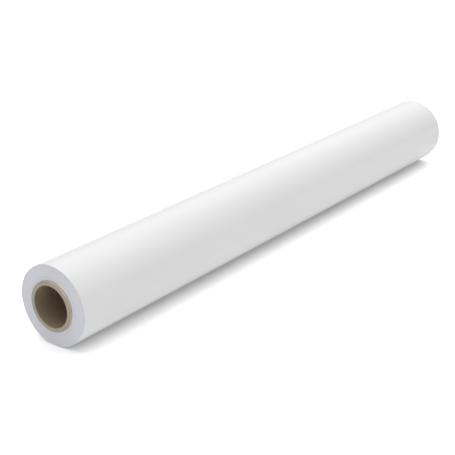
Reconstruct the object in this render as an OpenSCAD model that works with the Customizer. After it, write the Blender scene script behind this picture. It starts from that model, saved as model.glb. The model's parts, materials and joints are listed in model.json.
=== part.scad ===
// Roll of self-adhesive sign vinyl on a spiral-wound paperboard core.
// The roll lies along X, centred on the axis of its core, +Z up. Dimensions are in millimetres.

/* [Web] */
// Width of the vinyl web, along the roll
web_width = 1270; // [600:10:1600]
// Thickness of the face film with its adhesive coat
film_t = 0.10; // [0.06:0.02:0.20]
// Thickness of the silicone-coated release liner
liner_t = 0.12; // [0.06:0.02:0.20]
// Number of turns wound on the core
turns = 132; // [40:1:260]

/* [Core] */
// Diameter of the core's bore (a 3 inch spindle core)
bore_d = 76.2; // [50.8:0.1:152.4]
// Wall thickness of the core
core_wall = 7; // [5:0.5:12]
// Thickness of the smooth paper plies that line and wrap the board plies
ply_t = 0.6; // [0.4:0.1:1]
// How far the core stands out of the web at each end
core_overhang = 5; // [1:0.5:20]

/* [Tail] */
// Where the tail's cut edge lies round the roll: 0 is +Y, 90 is the top
tail_edge = -5; // [-60:1:20]
// Arc of the tail that lifts off the roll, in degrees
lift_arc = 50; // [30:1:80]
// Arc of film next to the cut edge that peels off its liner, in degrees
peel_arc = 18; // [15:1:25]
// Air gap under the loose tail
tail_gap = 0.03; // [0.02:0.01:0.1]

/* [Tapes] */
// Number of tape tabs that hold the tail down
tab_count = 3; // [2:1:5]
// Width of a tab, along the roll
tab_w = 19; // [12:1:38]
// Distance from each end of the web to the middle of the nearest tab
tab_inset = 185; // [40:5:200]
// Arc of each half of a tab, on either side of the cut edge, in degrees
tab_arc = 14; // [8:1:14]
// Thickness of the tape
tape_t = 0.06; // [0.04:0.01:0.1]
// Arc of the tape that holds the first turn to the core, in degrees
start_tape_arc = 30; // [15:1:60]

/* [Hidden] */
$fn = 180;

web_t = film_t + liner_t;
core_len = web_width + 2 * core_overhang;
bore_r = bore_d / 2;
core_r = bore_r + core_wall;
roll_r = core_r + turns * web_t;
tab_pitch = (web_width - 2 * tab_inset) / (tab_count - 1);
contact_gap = 0.01;     // between faces of pieces that part when a joint moves
part_arc = 0.1;         // arc left open between neighbouring pieces of the tail
step_arc = 0.1;         // arc of the tape that runs down over the cut edge
start_tape_t = 0.1;
start_tape_at = 200;    // where the web's leading edge lies, from the tail's edge
flat_arc = 1;           // a strip's curve is made of flats that turn by no more than this

// The last turn is a spiral of two half turns, each a true arc. The half turn that ends
// in the tail has its centre offset_c towards the cut edge, and the other half lies as
// far the other way, so the surface steps down by one web thickness at the cut edge.
offset_c = web_t / 4;
tail_half_r = roll_r - web_t / 4;
start_half_r = roll_r - 3 * web_t / 4;
tail_top_r = tail_half_r + tail_gap;

// Turns the build frame, where the roll stands along Z and angle 0 is the cut edge,
// into the roll's own frame.
module along_x() {
    rotate([90, 0, 90]) rotate(tail_edge) children();
}

// A band of an arc about the roll's axis, its centre moved by shift towards the cut edge.
module band(r_in, r_out, from, to, length, shift = 0) {
    along_x()
        translate([shift, 0, -length / 2])
            rotate_extrude(angle = to - from, start = from)
                translate([r_in, 0]) square([r_out - r_in, length]);
}

// Points along an arc about the origin, from one angle to another.
function arc_points(r, from, to) =
    let (flats = ceil(abs(to - from) / flat_arc))
    [for (i = [0 : flats]) let (a = from + (to - from) * i / flats) [r * cos(a), r * sin(a)]];

// A strip of thin sheet bent round part of the roll. It is thinner than the bulge of a
// coarse arc, so its curve is laid out in fine flats: the corners of the outer flats lie
// on r_out and the middles of the inner flats on r_in, so the strip stays between the two.
module strip(r_in, r_out, from, to, length, shift = 0) {
    along_x()
        translate([shift, 0, -length / 2])
            linear_extrude(length)
                polygon(concat(arc_points(r_out, from, to),
                               arc_points(r_in / cos(flat_arc / 2), to, from)));
}

// A full ring about the roll's axis.
module ring(r_in, r_out, length) {
    along_x()
        difference() {
            cylinder(r = r_out, h = length, center = true);
            cylinder(r = r_in, h = length + 2, center = true);
        }
}

// Half of a solid roll: side 1 holds the tail, side -1 the start of the last turn.
module half_roll(r, side, length) {
    along_x()
        intersection() {
            translate([side * offset_c, 0, 0]) cylinder(r = r, h = length, center = true);
            translate([-2 * r, side > 0 ? 0 : -2 * r, -length])
                cube([4 * r, 2 * r, 2 * length]);
        }
}

// One layer of the last turn, from the lift line round to where the turn starts.
// depth is how far the layer's outer face lies under the web's outer face.
module last_turn_layer(depth, thickness) {
    outer_tail = tail_half_r - depth;
    outer_start = start_half_r - depth;
    union() {
        band(outer_tail - thickness, outer_tail, lift_arc, 180, web_width, offset_c);
        band(outer_start - thickness, outer_start, 180, 360, web_width, -offset_c);
    }
}

// One layer of the tail, between two angles from the cut edge.
module tail_layer(depth, thickness, from, to) {
    outer = tail_top_r - depth;
    strip(outer - thickness, outer, from, to, web_width, offset_c);
}

module core_inner_ply() {
    color("#5e4d3c") ring(bore_r, bore_r + ply_t, core_len);
}

module core_board_plies() {
    color("#a8977a") ring(bore_r + ply_t, core_r - ply_t, core_len);
}

module core_outer_ply() {
    color("#8a7458") ring(core_r - ply_t, core_r, core_len);
}

module core_start_tape() {
    color("#e6dfc8")
        strip(core_r, core_r + start_tape_t,
              start_tape_at, start_tape_at + start_tape_arc, web_width);
}

// Every turn but the last, lying tight on each other, on the core and on the start tape.
module wound_turns() {
    color("#d6d8e2")
        difference() {
            union() {
                half_roll(tail_half_r - web_t, 1, web_width);
                half_roll(start_half_r - web_t, -1, web_width);
            }
            along_x() cylinder(r = core_r, h = web_width + 2, center = true);
            band(core_r - 1, core_r + start_tape_t, start_tape_at, start_tape_at + start_tape_arc,
                 web_width + 2);
        }
}

module last_turn_liner() {
    color("#ecebe6") last_turn_layer(film_t, liner_t);
}

module last_turn_film() {
    color("#f7f8fa") last_turn_layer(0, film_t);
}

module tail_liner() {
    color("#ecebe6") tail_layer(film_t, liner_t, 0, lift_arc - part_arc);
}

module tail_film() {
    color("#f7f8fa") tail_layer(0, film_t, peel_arc, lift_arc - part_arc);
}

module peel_film() {
    color("#f7f8fa") tail_layer(0, film_t - contact_gap, 0, peel_arc - part_arc);
}

// One tab: a half on the peel film, a half on the roll, and the step over the cut edge.
// The step has the roll half's centre, so it reaches twice offset_c further out to meet
// the top of the tail half.
module tape_tab() {
    roll_face = start_half_r + contact_gap;
    union() {
        band(tail_top_r, tail_top_r + tape_t, 0, tab_arc, tab_w, offset_c);
        band(roll_face, roll_face + tape_t, -tab_arc, 0, tab_w, -offset_c);
        band(roll_face, tail_top_r + tape_t + 2 * offset_c, -step_arc, 0, tab_w, -offset_c);
    }
}

module tail_tape_tabs() {
    color("#efe6c4")
        for (i = [0 : tab_count - 1])
            translate([(i - (tab_count - 1) / 2) * tab_pitch, 0, 0]) tape_tab();
}

core_inner_ply();
core_board_plies();
core_outer_ply();
core_start_tape();
wound_turns();
last_turn_liner();
last_turn_film();
tail_liner();
tail_film();
peel_film();
tail_tape_tabs();
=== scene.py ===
"""Looks of the roll of sign vinyl: a gloss white web on a board core, lying on a pale floor.

Lengths are in metres. The roll lies along X. Angles round it are measured from the tail's
cut edge, which lies low on the back (+Y), up over the top and down the front.
"""
import json
import math
from collections import namedtuple

import bpy
import numpy as np
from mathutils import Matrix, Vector


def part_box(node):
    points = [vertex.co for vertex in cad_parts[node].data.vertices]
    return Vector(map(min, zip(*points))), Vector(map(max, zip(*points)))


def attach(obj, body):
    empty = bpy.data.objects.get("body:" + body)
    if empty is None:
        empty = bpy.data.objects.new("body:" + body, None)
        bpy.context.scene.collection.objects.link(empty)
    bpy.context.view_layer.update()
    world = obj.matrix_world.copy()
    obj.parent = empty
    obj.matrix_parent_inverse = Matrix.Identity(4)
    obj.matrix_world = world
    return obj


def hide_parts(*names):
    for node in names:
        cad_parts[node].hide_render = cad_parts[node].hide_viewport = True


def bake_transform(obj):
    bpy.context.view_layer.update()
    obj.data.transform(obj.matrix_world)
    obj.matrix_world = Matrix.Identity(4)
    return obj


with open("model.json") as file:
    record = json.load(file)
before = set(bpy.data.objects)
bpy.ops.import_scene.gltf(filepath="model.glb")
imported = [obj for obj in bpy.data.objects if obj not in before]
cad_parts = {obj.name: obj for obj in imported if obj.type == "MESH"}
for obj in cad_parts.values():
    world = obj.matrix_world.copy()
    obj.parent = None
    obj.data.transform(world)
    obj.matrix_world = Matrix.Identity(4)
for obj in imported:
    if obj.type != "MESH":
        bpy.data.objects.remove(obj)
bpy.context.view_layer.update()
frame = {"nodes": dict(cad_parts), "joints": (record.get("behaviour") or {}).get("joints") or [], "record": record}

MM = 0.001
TURN = 2 * math.pi

MOUNTS = {mount["name"]: mount for mount in frame["record"]["mounts"]}
JOINT_AT = {joint["name"]: joint["pos_m"] for joint in frame["joints"]}

# The web and the core, as the CAD model has them.
FILM_T = 0.10 * MM
LINER_T = 0.12 * MM
WEB_T = FILM_T + LINER_T
TURNS = 132
PLY_T = 0.6 * MM
CORE_WALL = 7 * MM
TAIL_EDGE = math.radians(-5)
TAIL_GAP = 0.03 * MM
CONTACT_GAP = 0.01 * MM
BORE_R = MOUNTS["core_bore"]["dims"]["r_mm"] * MM
CORE_R = BORE_R + CORE_WALL
ROLL_R = CORE_R + TURNS * WEB_T
CORE_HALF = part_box("core_board_plies")[1][0]
WEB_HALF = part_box("wound_turns")[1][0]

# The tape tabs that hold the tail down.
TAB_COUNT = 3
TAB_PITCH = 450 * MM
TAB_W = 19 * MM
TAB_ARC = math.radians(14)
TAPE_T = 0.06 * MM


def angle_of(point):
    """The angle of a point round the roll, from the tail's cut edge."""
    return math.atan2(point[2], point[1]) - TAIL_EDGE


def around(radius, angle, x):
    """The point at an angle from the tail's cut edge."""
    world = angle + TAIL_EDGE
    return (x, radius * math.cos(world), radius * math.sin(world))


def spiral_radius(angle):
    """The outer face of the web at an angle back from the tail's cut edge, over all turns."""
    return ROLL_R - WEB_T * angle / TURN


LIFT_ARC = angle_of(JOINT_AT["tail_lift"])
PEEL_ARC = angle_of(JOINT_AT["film_peel"])


# ---------------------------------------------------------------- nodes for shaders


def feed(tree, socket, value):
    """Links a socket to another socket, or sets it to a constant."""
    if isinstance(value, bpy.types.NodeSocket):
        tree.links.new(value, socket)
    else:
        socket.default_value = value


def math_node(tree, operation, first, second=0.0):
    node = tree.nodes.new("ShaderNodeMath")
    node.operation = operation
    feed(tree, node.inputs[0], first)
    feed(tree, node.inputs[1], second)
    return node.outputs[0]


# ---------------------------------------------------------------- stage, light and camera


# Where the camera stands and, in degrees, where it points: down, and round from +Y towards +X.
CAMERA_AT = (-1.8059, -1.2437, 0.8186)
CAMERA_TILT_DOWN = 21.898
CAMERA_HEADING = 53.167
CAMERA_LENS_MM = 87.95
CAMERA_SENSOR_MM = 36
CAMERA_REACH = 100

# The studio's light by direction: an even base, and soft lobes of (direction, sharpness, strength).
SKY_BASE = 0.38
SKY_LOBES = [
    ((0, 0, 1), 8, 2.15),
    ((0.743, 0.43, 0.51), 8, 0.9),
    ((0.75, -0.1, 0.66), 8, 0.35),
    ((-0.92, 0, 0.4), 4, 0.34),
]
# How bright the camera sees the backdrop.
BACKDROP = 1.0

FLOOR_SIZE = 60
# The lowest line of the roll lies three quarters of a turn from the +Y side.
FLOOR_Z = -spiral_radius(0.75 * TURN - TAIL_EDGE)
# The floor as it lights the roll from below.
FLOOR_WHITE = 0.8
FLOOR_GLOW = 0.16
# The floor as it is shown: over-exposed, with a deep contact shadow.
FLOOR_SHOWN_WHITE = 1.7
FLOOR_SHOWN_GLOW = -0.27


def add_camera():
    data = bpy.data.cameras.new("camera")
    data.lens = CAMERA_LENS_MM
    data.sensor_width = CAMERA_SENSOR_MM
    data.clip_end = CAMERA_REACH
    camera = bpy.data.objects.new("camera", data)
    camera.location = CAMERA_AT
    tilt = math.radians(90 - CAMERA_TILT_DOWN)
    camera.rotation_euler = (tilt, 0, math.radians(-CAMERA_HEADING))
    bpy.context.scene.collection.objects.link(camera)
    bpy.context.scene.camera = camera


def add_world():
    """Soft light from all round, and a white backdrop behind the floor."""
    world = bpy.data.worlds.new("studio")
    bpy.context.scene.world = world
    world.use_nodes = True
    tree = world.node_tree
    direction = tree.nodes.new("ShaderNodeTexCoord").outputs["Generated"]
    level = SKY_BASE
    for axis, sharpness, strength in SKY_LOBES:
        dot = tree.nodes.new("ShaderNodeVectorMath")
        dot.operation = "DOT_PRODUCT"
        feed(tree, dot.inputs[0], direction)
        feed(tree, dot.inputs[1], Vector(axis).normalized())
        facing = math_node(tree, "MAXIMUM", dot.outputs["Value"], 0.0)
        lobe = math_node(tree, "POWER", facing, sharpness)
        level = math_node(tree, "ADD", math_node(tree, "MULTIPLY", lobe, strength), level)
    path = tree.nodes.new("ShaderNodeLightPath")
    seen = tree.nodes.new("ShaderNodeMix")
    feed(tree, seen.inputs["Factor"], path.outputs["Is Camera Ray"])
    feed(tree, seen.inputs["A"], level)
    feed(tree, seen.inputs["B"], BACKDROP)
    background = tree.nodes["Background"]
    feed(tree, background.inputs["Color"], (1, 1, 1, 1))
    feed(tree, background.inputs["Strength"], seen.outputs["Result"])


def floor_shader(tree, white, glow):
    """A matte white that also glows, or swallows light where glow is negative."""
    diffuse = tree.nodes.new("ShaderNodeBsdfDiffuse")
    feed(tree, diffuse.inputs["Color"], (white, white, white, 1))
    emission = tree.nodes.new("ShaderNodeEmission")
    feed(tree, emission.inputs["Strength"], glow)
    both = tree.nodes.new("ShaderNodeAddShader")
    feed(tree, both.inputs[0], diffuse.outputs[0])
    feed(tree, both.inputs[1], emission.outputs[0])
    return both.outputs[0]


def add_floor():
    """A plain pale floor, shown over-exposed as in a catalogue picture."""
    half = FLOOR_SIZE / 2
    corners = [(x * half, y * half, FLOOR_Z) for x, y in ((-1, -1), (1, -1), (1, 1), (-1, 1))]
    mesh = bpy.data.meshes.new("floor")
    mesh.from_pydata(corners, [], [(0, 1, 2, 3)])
    floor = bpy.data.objects.new("floor", mesh)
    bpy.context.scene.collection.objects.link(floor)
    material = bpy.data.materials.new("floor")
    material.use_nodes = True
    material.cycles.emission_sampling = "NONE"
    tree = material.node_tree
    tree.nodes.remove(tree.nodes["Principled BSDF"])
    mix = tree.nodes.new("ShaderNodeMixShader")
    path = tree.nodes.new("ShaderNodeLightPath")
    feed(tree, mix.inputs[0], path.outputs["Is Camera Ray"])
    feed(tree, mix.inputs[1], floor_shader(tree, FLOOR_WHITE, FLOOR_GLOW))
    feed(tree, mix.inputs[2], floor_shader(tree, FLOOR_SHOWN_WHITE, FLOOR_SHOWN_GLOW))
    feed(tree, tree.nodes["Material Output"].inputs["Surface"], mix.outputs[0])
    mesh.materials.append(material)


# ---------------------------------------------------------------- materials


class Finish:
    """A node material round one Principled shader, in object coordinates.

    The scale of a noise is about the number of its waves in a metre. A ramp's stops are
    (place, colour or grey).
    """

    def __init__(self, name, color, roughness, **sockets):
        self.material = bpy.data.materials.new(name)
        self.material.use_nodes = True
        self.tree = self.material.node_tree
        self.shader = self.tree.nodes["Principled BSDF"]
        self.shader.inputs["Base Color"].default_value = (*color, 1)
        self.shader.inputs["Roughness"].default_value = roughness
        for socket, value in sockets.items():
            self.shader.inputs[socket].default_value = value
        self.place = self.tree.nodes.new("ShaderNodeTexCoord").outputs["Object"]

    def node(self, kind, **inputs):
        node = self.tree.nodes.new(kind)
        for name, value in inputs.items():
            feed(self.tree, node.inputs[name], value)
        return node

    def math(self, operation, first, second=0.0):
        return math_node(self.tree, operation, first, second)

    def stretched(self, x, y, z):
        """Object coordinates scaled along each axis."""
        node = self.node("ShaderNodeMapping", Vector=self.place)
        node.inputs["Scale"].default_value = (x, y, z)
        return node.outputs[0]

    def noise(self, vector, scale, detail=2.0, roughness=0.5):
        node = self.node("ShaderNodeTexNoise", Scale=scale, Detail=detail, Roughness=roughness)
        feed(self.tree, node.inputs["Vector"], vector)
        return node.outputs["Fac"]

    def noise_1d(self, value, scale, detail=2.0, roughness=0.5):
        node = self.node("ShaderNodeTexNoise", Scale=scale, Detail=detail, Roughness=roughness)
        node.noise_dimensions = "1D"
        feed(self.tree, node.inputs["W"], value)
        return node.outputs["Fac"]

    def ramp(self, value, *stops):
        """Colours or greys along a value."""
        node = self.node("ShaderNodeValToRGB", Fac=value)
        elements = node.color_ramp.elements
        while len(elements) < len(stops):
            elements.new(1.0)
        for element, (place, color) in zip(elements, stops):
            element.position = place
            element.color = (*color, 1) if isinstance(color, tuple) else (color, color, color, 1)
        return node.outputs["Color"]

    def mix(self, factor, first, second):
        node = self.tree.nodes.new("ShaderNodeMix")
        node.data_type = "RGBA"
        feed(self.tree, node.inputs["Factor"], factor)
        for socket, value in ((node.inputs[6], first), (node.inputs[7], second)):
            feed(self.tree, socket, (*value, 1) if isinstance(value, tuple) else value)
        return node.outputs[2]

    def paint(self, color):
        """Sets the base colour, and keeps it as tone for more to be laid over it."""
        self.tone = color
        feed(self.tree, self.shader.inputs["Base Color"], color)

    def bump(self, height, strength, depth):
        """Adds relief over whatever relief there already is. depth is in metres."""
        node = self.node("ShaderNodeBump", Height=height, Strength=strength, Distance=depth)
        normal = self.shader.inputs["Normal"]
        if normal.links:
            feed(self.tree, node.inputs["Normal"], normal.links[0].from_socket)
        feed(self.tree, normal, node.outputs["Normal"])

    def coordinates(self):
        """The object coordinates, by name of axis."""
        return self.node("ShaderNodeSeparateXYZ", Vector=self.place).outputs

    def radius(self):
        """The distance from the roll's axis."""
        axes = self.coordinates()
        squares = [self.math("POWER", axes[name], 2.0) for name in ("Y", "Z")]
        return self.math("SQRT", self.math("ADD", *squares))


def vinyl_finish():
    """Gloss white calendered film: an even colour, a faint orange peel and faint tension rings."""
    finish = Finish("vinyl_film", (0.87, 0.87, 0.88), roughness=0.24, IOR=1.5)
    cloud = finish.noise(finish.stretched(3, 14, 14), scale=1.0, detail=3.0)
    finish.paint(finish.ramp(cloud, (0.3, (0.862, 0.864, 0.872)), (0.7, (0.882, 0.883, 0.889))))
    tension_rings = finish.noise_1d(finish.coordinates()["X"], scale=35)
    finish.bump(tension_rings, strength=0.05, depth=1 * MM)
    orange_peel = finish.noise(finish.place, scale=900)
    finish.bump(orange_peel, strength=0.06, depth=0.1 * MM)
    return finish.material


def adhesive_finish():
    """The sticky back of the film: pale grey, glossy, with the liner's texture moulded into it."""
    finish = Finish("adhesive", (0.74, 0.75, 0.76), roughness=0.32, IOR=1.47)
    patches = finish.noise(finish.place, scale=45, detail=4.0)
    finish.paint(finish.ramp(patches, (0.3, (0.70, 0.71, 0.72)), (0.7, (0.78, 0.79, 0.80))))
    liner_texture = finish.noise(finish.place, scale=1400, detail=3.0)
    finish.bump(liner_texture, strength=0.25, depth=0.08 * MM)
    return finish.material


def web_edge_finish():
    """The slit edges of film and liner: satin, faintly lilac, in rings of slightly different tone."""
    finish = Finish("web_edge", (0.78, 0.79, 0.84), roughness=0.55)
    radius = finish.radius()
    rings = finish.noise_1d(radius, scale=900, detail=3.0, roughness=0.7)
    bands = finish.noise_1d(radius, scale=160, detail=1.0)
    ring_tone = finish.ramp(rings, (0.3, (0.72, 0.735, 0.80)), (0.7, (0.80, 0.81, 0.86)))
    band_tone = finish.ramp(bands, (0.35, (0.74, 0.75, 0.80)), (0.65, (0.83, 0.84, 0.87)))
    tone = finish.mix(0.5, ring_tone, band_tone)
    span = finish.math("DIVIDE", finish.math("SUBTRACT", radius, CORE_R), ROLL_R - CORE_R)
    warm_at_core = finish.ramp(span, (0.0, 1.0), (0.02, 0.0))
    # The outermost turns are painted a darker grey towards the rim.
    darker_at_rim = finish.ramp(span, (0.965, 0.0), (0.985, 0.6))
    tone = finish.mix(warm_at_core, tone, (0.80, 0.77, 0.70))
    finish.paint(finish.mix(darker_at_rim, tone, (0.58, 0.60, 0.64)))
    slit_lines = finish.noise_1d(radius, scale=4000, detail=1.0)
    finish.bump(slit_lines, strength=0.2, depth=0.05 * MM)
    return finish.material


def paper_finish(name, color, dark, fibre_scale, roughness=0.75, relief=0.3):
    """Matte paper or board, mottled, with short fibres. Returns the finish for more to be added."""
    finish = Finish(name, color, roughness)
    mottle = finish.noise(finish.place, scale=fibre_scale / 8, detail=4.0, roughness=0.6)
    fibres = finish.noise(finish.stretched(0.4, 1, 1), fibre_scale, detail=5.0, roughness=0.7)
    mottle_tone = finish.ramp(mottle, (0.3, dark), (0.7, color))
    fibre_tone = finish.ramp(fibres, (0.35, dark), (0.65, color))
    finish.paint(finish.mix(0.35, mottle_tone, fibre_tone))
    finish.bump(fibres, relief, depth=0.12 * MM)
    return finish


# The width of a paper ply's seam, as a share of the pitch of its helix.
SEAM_SHARE = 0.012


def add_spiral_seam(finish, pitch, seam_color):
    """The butt joint of a paper ply wound at an angle: a thin dark line and a step, in a helix."""
    axes = finish.coordinates()
    turn = finish.math("DIVIDE", finish.math("ARCTAN2", axes["Z"], axes["Y"]), TURN)
    advance = finish.math("DIVIDE", axes["X"], pitch)
    across = finish.math("FRACT", finish.math("ADD", advance, turn))
    line = finish.ramp(across, (0.0, 1.0), (SEAM_SHARE, 0.0))
    finish.paint(finish.mix(line, finish.tone, seam_color))
    step = finish.ramp(across, (0.0, 0.0), (SEAM_SHARE, 1.0))
    finish.bump(step, strength=0.8, depth=0.25 * MM)


def board_finish():
    """Grey-tan board in many plies, whose edges show as fine rings on the cut ends."""
    light, dark = (0.52, 0.465, 0.385), (0.42, 0.37, 0.305)
    finish = paper_finish("core_board", light, dark, fibre_scale=1500)
    plies = finish.noise_1d(finish.radius(), scale=1800, roughness=0.6)
    ply_tone = finish.ramp(plies, (0.35, (0.37, 0.325, 0.265)), (0.65, (0.56, 0.505, 0.425)))
    finish.paint(finish.mix(0.45, finish.tone, ply_tone))
    return finish.material


def wrap_finish():
    """Kraft paper wound over the board: light on its face, with painted shade, near black, on its cut end."""
    light, dark = (0.68, 0.585, 0.45), (0.57, 0.485, 0.365)
    finish = paper_finish("kraft_wrap", light, dark, fibre_scale=1200)
    add_spiral_seam(finish, 160 * MM, (0.16, 0.12, 0.08))
    # Painted shade: the ply's cut end is painted near black, standing in for the dark ring of shade round the
    # core's rim.
    depth = finish.math("SUBTRACT", CORE_R, finish.radius())
    cut = finish.ramp(finish.math("DIVIDE", depth, PLY_T), (0.05, 0.0), (0.25, 1.0))
    finish.paint(finish.mix(cut, finish.tone, (0.07, 0.058, 0.045)))
    return finish.material


def lining_finish():
    """Brown kraft paper inside the core, with a spiral seam and scuffs from spindles."""
    light, dark = (0.37, 0.29, 0.205), (0.285, 0.22, 0.152)
    finish = paper_finish("kraft_lining", light, dark, fibre_scale=1200)
    scuffs = finish.noise(finish.stretched(6, 60, 60), scale=1.0, detail=4.0, roughness=0.7)
    scuffed = finish.ramp(scuffs, (0.58, 0.0), (0.72, 0.5))
    finish.paint(finish.mix(scuffed, finish.tone, (0.46, 0.37, 0.27)))
    add_spiral_seam(finish, 120 * MM, (0.12, 0.09, 0.06))
    return finish.material


def tape_finish():
    """Cream crepe masking tape: fine wrinkles across the tape."""
    light, dark = (0.82, 0.76, 0.58), (0.74, 0.67, 0.49)
    finish = paper_finish("tail_tape", light, dark, fibre_scale=700, roughness=0.62, relief=0.15)
    wrinkles = finish.noise(finish.stretched(0.15, 1, 1), scale=2200)
    crepe_tone = finish.ramp(wrinkles, (0.35, (0.70, 0.63, 0.45)), (0.65, (0.86, 0.80, 0.63)))
    finish.paint(finish.mix(0.3, finish.tone, crepe_tone))
    finish.bump(wrinkles, strength=0.5, depth=0.15 * MM)
    return finish.material


def liner_finish():
    """Smooth satin release paper."""
    light, dark = (0.86, 0.85, 0.82), (0.80, 0.79, 0.76)
    finish = paper_finish("release_liner", light, dark, fibre_scale=900, roughness=0.45)
    return finish.material


# ---------------------------------------------------------------- mesh helpers


# Edges that turn by more than this many degrees stay sharp, and on the wound web by more than
# WEB_SHARP_EDGE.
SHARP_EDGE = 35
WEB_SHARP_EDGE = 75


def make_piece(name, points, faces, material, sharp_edge=SHARP_EDGE):
    """A mesh object from points and faces, smooth but for the edges sharper than sharp_edge."""
    mesh = bpy.data.meshes.new(name)
    mesh.from_pydata(points, [], faces)
    mesh.validate()
    mesh.shade_smooth()
    mesh.set_sharp_from_angle(angle=math.radians(sharp_edge))
    mesh.materials.append(material)
    piece = bpy.data.objects.new(name, mesh)
    bpy.context.scene.collection.objects.link(piece)
    return piece


def paint_faces(piece, material, faces):
    """Gives some faces of a piece a second material."""
    piece.data.materials.append(material)
    for i in faces:
        piece.data.polygons[i].material_index = 1


def ring_faces(loops, count, closed):
    """Quads between neighbouring loops of count points each; closed joins the last to the first."""
    faces = []
    for row in range(loops if closed else loops - 1):
        here, there = row * count, ((row + 1) % loops) * count
        for i in range(count):
            j = (i + 1) % count
            faces.append((here + i, here + j, there + j, there + i))
    return faces


def strip_faces(loops, count):
    """The closed skin of a thin strip. Each loop goes out along count points and back along count."""
    loop = 2 * count
    faces = ring_faces(loops, loop, False)
    last = (loops - 1) * loop
    for i in range(count - 1):
        inner = loop - 1 - i
        faces.append((i, inner, inner - 1, i + 1))
        faces.append((last + i, last + i + 1, last + inner - 1, last + inner))
    return faces


def spread(first, last, step):
    """Evenly spaced values from first to last, no more than step apart."""
    return list(np.linspace(first, last, max(2, math.ceil(abs(last - first) / step) + 1)))


def spread_fine_ends(first, last, step):
    """As spread, with ever smaller steps at both ends, so that shading meets the next piece's."""
    halvings = 4
    lead = [step * (2 ** -k) for k in range(halvings, 0, -1)]
    starts = [first] + [first + d for d in lead]
    ends = [last - d for d in reversed(lead)] + [last]
    gap = step * 0.75
    return starts + spread(starts[-1] + gap, ends[0] - gap, step) + ends


# ---------------------------------------------------------------- layers of the web


# A layer: how far its outer face lies under the web's, its thickness, its slot in the record,
# and the materials of its outer and its inner face.
Layer = namedtuple("Layer", "depth thickness slot face back")


def sheet_strip(name, angles, outer, stations, layer):
    """One layer of the web as a closed thin sheet bent round the roll.

    outer(angle, x) is the radius of the web's outer face.
    """
    points = []
    for x in stations:
        radii = [outer(angle, x) - layer.depth for angle in angles]
        outside = [around(r, angle, x) for r, angle in zip(radii, angles)]
        inside = [around(r - layer.thickness, angle, x) for r, angle in zip(radii, angles)]
        points += outside + inside[::-1]
    count = len(angles)
    loop = 2 * count
    piece = make_piece(name, points, strip_faces(len(stations), count), layer.face)
    if layer.back:
        skin = range((len(stations) - 1) * loop)
        paint_faces(piece, layer.back, [i for i in skin if count <= i % loop < loop - 1])
    return piece


# ---------------------------------------------------------------- the wound web


# How finely the spirals on the web's ends are cut: so many points to a turn.
EDGE_SEGMENTS = 192

# The turns' edges wander in and out along the roll: slowly over many turns, and a little from
# each to the next.
SLOW_WANDER = 0.10 * MM
SLOW_WANDER_TURNS = 19
TURN_WANDER = 0.02 * MM
# The depth of the fine groove between one turn and the next.
TURN_GROOVE = 0.09 * MM
# The first turns on the core sit a little back from the others, and so do the outermost ones.
CORE_GROOVE_TURNS = 2
CORE_GROOVE_DEPTH = 1.5 * MM
OUTER_SET_BACK_TURNS = 10
OUTER_SET_BACK = 0.5 * MM


def edge_offsets():
    """How far out each turn's edge lies, at most 0, counting turns from the outermost inwards."""
    # The groove ends one turn past the last, and blends with the turn after that.
    count = TURNS + 3
    # Spare values keep the smoothed noise from fading out at the core.
    spare = 40
    rng = np.random.RandomState(7)
    each = rng.normal(0, 1, count)
    # A fifth of the window keeps the smoothed noise near SLOW_WANDER.
    window = np.hanning(SLOW_WANDER_TURNS) / 5
    slow = np.convolve(rng.normal(0, 1, TURNS + spare), window, "same")[:count]
    offsets = SLOW_WANDER * slow + TURN_WANDER * each
    offsets -= offsets.max()
    turn = np.arange(count)
    offsets -= CORE_GROOVE_DEPTH * np.clip(turn - (TURNS - CORE_GROOVE_TURNS), 0, 1)
    offsets -= OUTER_SET_BACK * np.clip(1 - turn / OUTER_SET_BACK_TURNS, 0, 1)
    return offsets


def web_end(side, offsets):
    """The points of one end of the web: a groove between the turns, and a ridge between layers.

    Both are spirals. The ridge lies where a turn's film meets its liner, and the groove runs
    one turn further than the ridge.
    """
    n = EDGE_SEGMENTS

    def place(s, set_back, depth):
        angle = TURN * s / n
        turn = s / n
        low = int(turn)
        offset = offsets[low] + (offsets[low + 1] - offsets[low]) * (turn - low)
        x = side * (WEB_HALF + offset) - side * set_back
        return around(spiral_radius(angle) - depth, angle, x)

    groove = [place(s, TURN_GROOVE, 0) for s in range(n, n * (TURNS + 1) + 1)]
    ridge = [place(s, 0, FILM_T) for s in range(n, n * TURNS + 1)]
    return groove, ridge


def make_wound_web(edge_material, face_material):
    """All turns but the last, as one solid whose ends show the spiral of slit edges."""
    n = EDGE_SEGMENTS
    rows = n * (TURNS - 1)
    offsets = edge_offsets()
    points, faces, outer_rims, core_rims = [], [], [], []
    for side in (-1, 1):
        base = len(points)
        groove_points, ridge_points = web_end(side, offsets)
        points += groove_points + ridge_points
        ridge_base = base + len(groove_points)
        for i in range(rows):
            groove, ridge = base + i, ridge_base + i
            quads = [
                (groove, groove + 1, ridge + 1, ridge),
                (ridge, ridge + 1, groove + 1 + n, groove + n),
            ]
            faces += quads if side > 0 else [quad[::-1] for quad in quads]
        # A rim is one whole turn of the groove, closed by the end of the ridge.
        outer_rims.append([base + i for i in range(n + 1)] + [ridge_base])
        core_rims.append([base + rows + i for i in range(n + 1)] + [ridge_base + rows])

    outer_face = range(len(faces), len(faces) + n)
    for (near, far), flip in ((outer_rims, False), (core_rims, True)):
        for i in range(len(near)):
            j = (i + 1) % len(near)
            quad = (near[i], near[j], far[j], far[i])
            faces.append(quad[::-1] if flip else quad)
    web = make_piece("wound_web", points, faces, edge_material, WEB_SHARP_EDGE)
    paint_faces(web, face_material, outer_face)
    return web


def dress_wound_web(finishes):
    web = make_wound_web(finishes["web_edge"], finishes["vinyl_film"])
    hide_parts("wound_turns")
    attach(web, "roll")


# How finely the last turn is cut, round the roll and along it.
TURN_STEP = math.radians(1.5)
TURN_STATION = 50 * MM


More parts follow.
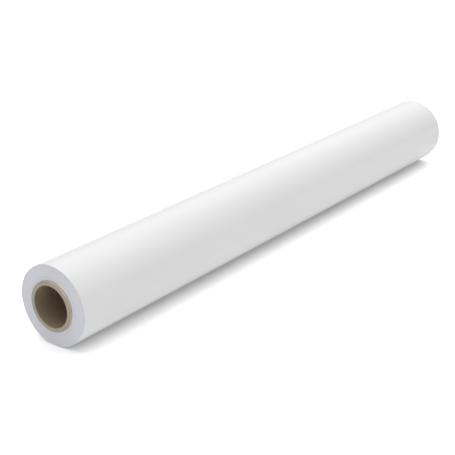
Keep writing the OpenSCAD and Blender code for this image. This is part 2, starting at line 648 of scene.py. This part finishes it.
def last_turn(name, node, layer):
    """One layer of the last turn, from the lift line round to where the turn starts."""
    angles = spread_fine_ends(LIFT_ARC, TURN, TURN_STEP)
    stations = spread(-WEB_HALF, WEB_HALF, TURN_STATION)
    piece = sheet_strip(name, angles, lambda angle, x: spiral_radius(angle), stations, layer)
    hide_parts(node)
    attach(piece, "roll")


# ---------------------------------------------------------------- the tail


# Before the lift line, the gap under the tail closes over LIFT_BEND.
LIFT_BEND = math.radians(12)
# Between the tabs the cut edge has sprung off the roll by this much, fading out over an arc.
EDGE_RISE = 0.9 * MM
EDGE_RISE_ARC = math.radians(10)
# How finely the tail is cut along the roll, and round it where it lifts and where it peels.
TAIL_STATION = 15 * MM
LIFT_STEP = math.radians(0.6)
PEEL_STEP = math.radians(0.25)

# The teeth of the tabs' torn edges, and the arc over which the tape steps down off the tail.
TOOTH = 1.25 * MM
TOOTH_ARC = 0.7 * MM / ROLL_R
TAPE_STEP_ARC = math.radians(0.6)
TAPE_GAP = 0.01 * MM
# Where a tab is cut, as shares of its half arc: evenly, and finely next to the tail's cut edge.
TAB_CUT = 0.1
TAB_FINE_CUTS = [-0.05, -0.03, -0.015, -0.004, 0.004, 0.015, 0.03]


def tail_radius(angle, x):
    """The outer face of the tail."""
    gap = TAIL_GAP * min(1, (LIFT_ARC - angle) / LIFT_BEND)
    between_tabs = 0.5 - 0.5 * math.cos(TURN * x / TAB_PITCH)
    near_edge = max(0.0, 1 - angle / EDGE_RISE_ARC) ** 2
    return spiral_radius(angle) + gap + EDGE_RISE * between_tabs * near_edge


def tail_layer(name, node, layer, first, last, step):
    """One layer of the tail between two angles from its cut edge."""
    angles = spread_fine_ends(first, last, step)
    stations = spread(-WEB_HALF, WEB_HALF, TAIL_STATION)
    piece = sheet_strip(name, angles, tail_radius, stations, layer)
    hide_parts(node)
    return piece


def bend_at(piece):
    """Bakes the piece's placement into its mesh."""
    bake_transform(piece)


def tab_radius(angle):
    """The under side of a tab: on the tail above the cut edge, and on the turn under it below."""
    fall = min(1.0, max(0.0, -angle / TAPE_STEP_ARC))
    on_tail = tail_radius(max(angle, 0.0), 0.0)
    on_roll = spiral_radius(TURN + min(angle, 0.0))
    return on_tail + (on_roll - on_tail) * fall + TAPE_GAP


def make_tape_tabs(material):
    """Crepe tape stuck half on the tail and half on the turn under it, torn off on a toothed blade."""
    cuts = sorted(set(spread(-1, 1, TAB_CUT) + TAB_FINE_CUTS))
    across = spread(-TAB_W / 2, TAB_W / 2, TOOTH / 2)
    points, faces = [], []
    for tab in range(TAB_COUNT):
        base = len(points)
        middle = (tab - (TAB_COUNT - 1) / 2) * TAB_PITCH
        for row, x in enumerate(across):
            arc = TAB_ARC - TOOTH_ARC * (row % 2)
            angles = [cut * arc for cut in cuts]
            lower = [around(tab_radius(angle), angle, middle + x) for angle in angles]
            upper = [around(tab_radius(angle) + TAPE_T, angle, middle + x) for angle in angles]
            points += upper + lower[::-1]
        skin = strip_faces(len(across), len(cuts))
        faces += [tuple(base + point for point in face) for face in skin]
    return make_piece("tape_tabs", points, faces, material)


def dress_tail(film, liner, tape):
    sheet = tail_layer("tail_liner_sheet", "tail_liner", liner, 0, LIFT_ARC, LIFT_STEP)
    bend_at(sheet)
    sheet = tail_layer("tail_film_sheet", "tail_film", film, PEEL_ARC, LIFT_ARC, LIFT_STEP)
    bend_at(sheet)
    sheet = tail_layer("peel_film_sheet", "peel_film", film, 0, PEEL_ARC, PEEL_STEP)
    bend_at(sheet)
    tabs = make_tape_tabs(tape)
    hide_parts("tail_tape_tabs")
    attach(tabs, "film_lead")


# ---------------------------------------------------------------- the core


CORE_SEGMENTS = 256
CORE_STATION = 40 * MM
# The corners of a paper ply are worn round by this much.
PLY_WEAR = 0.12 * MM
# The board's cut ends: plies cut to slightly different lengths, with grooves between them.
BOARD_PLIES = 10
PLY_SCATTER = 0.12 * MM
PLY_GROOVE_DEPTH = 0.16 * MM
PLY_GROOVE_HALF = 0.05 * MM
# How far the points of a sawn end stray.
PAPER_FRAY = 0.05 * MM
BOARD_FRAY = 0.08 * MM


def revolve(name, profile, material, fray):
    """A closed solid turned about X from a closed profile of (x, radius).

    Points in the outermost millimetre at each end go back by up to fray, as a sawn end does.
    """
    rng = np.random.RandomState(1)
    end = max(x for x, radius in profile) - MM
    points = []
    for x, radius in profile:
        for i in range(CORE_SEGMENTS):
            back = fray * rng.rand() if abs(x) > end else 0.0
            angle = TURN * i / CORE_SEGMENTS
            points.append(around(radius, angle, x - math.copysign(back, x)))
    faces = ring_faces(len(profile), CORE_SEGMENTS, True)
    return make_piece(name, points, faces, material)


def plain_ring(inner, outer):
    """The profile of one ply, with its corners worn a little round."""
    shoulder = CORE_HALF - PLY_WEAR
    side = [
        (shoulder, inner),
        (CORE_HALF, inner + PLY_WEAR),
        (CORE_HALF, outer - PLY_WEAR),
        (shoulder, outer),
    ]
    mirrored = [(-x, radius) for x, radius in reversed(side)]
    inside = [(x, inner) for x in spread(-shoulder, shoulder, CORE_STATION)][1:-1]
    return inside + side + mirrored


def board_ring(inner, outer):
    """The profile of the board, with a fine groove between neighbouring plies on each cut end."""
    rng = np.random.RandomState(11)
    edges = np.linspace(inner, outer, BOARD_PLIES + 1)
    ends = []
    for side in (1, -1):
        end = [(side * CORE_HALF, edges[0])]
        for low, high in zip(edges[:-1], edges[1:]):
            x = side * (CORE_HALF - PLY_SCATTER * rng.rand())
            groove = (side * (CORE_HALF - PLY_GROOVE_DEPTH), high)
            end += [(x, low + PLY_GROOVE_HALF), (x, high - PLY_GROOVE_HALF), groove]
        ends.append(end)
    return ends[0] + ends[1][::-1]


def dress_core(finishes):
    lining_r, wrap_r = BORE_R + PLY_T, CORE_R - PLY_T
    lining = plain_ring(BORE_R, lining_r)
    board = board_ring(lining_r, wrap_r)
    wrap = plain_ring(wrap_r, CORE_R)
    for name, profile, finish, fray, node, slot in (
        ("core_lining", lining, "lining", PAPER_FRAY, "core_inner_ply", "kraft_lining"),
        ("core_board", board, "board", BOARD_FRAY, "core_board_plies", "core_board"),
        ("core_wrap", wrap, "wrap", PAPER_FRAY, "core_outer_ply", "kraft_wrap"),
    ):
        piece = revolve(name, profile, finishes[finish], fray)
        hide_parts(node)
        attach(piece, "roll")


def dress_start_tape(material):
    """The tape that starts the first turn keeps its CAD shape."""
    start_tape = frame["nodes"]["core_start_tape"].data
    start_tape.materials.clear()
    start_tape.materials.append(material)


# ---------------------------------------------------------------- the whole scene


def build():
    bpy.context.scene.view_settings.view_transform = "Standard"
    add_camera()
    add_world()
    add_floor()
    finishes = {
        "vinyl_film": vinyl_finish(),
        "adhesive": adhesive_finish(),
        "web_edge": web_edge_finish(),
        "liner": liner_finish(),
        "board": board_finish(),
        "lining": lining_finish(),
        "wrap": wrap_finish(),
        "tape": tape_finish(),
    }
    # The film stops just short of the liner, so that their faces never coincide.
    film_t = FILM_T - CONTACT_GAP
    film = Layer(0, film_t, "vinyl_film", finishes["vinyl_film"], finishes["adhesive"])
    liner = Layer(FILM_T, LINER_T, "release_liner", finishes["liner"], None)
    dress_wound_web(finishes)
    last_turn("outer_liner", "last_turn_liner", liner)
    last_turn("outer_film", "last_turn_film", film)
    dress_tail(film, liner, finishes["tape"])
    dress_core(finishes)
    dress_start_tape(finishes["tape"])


build()
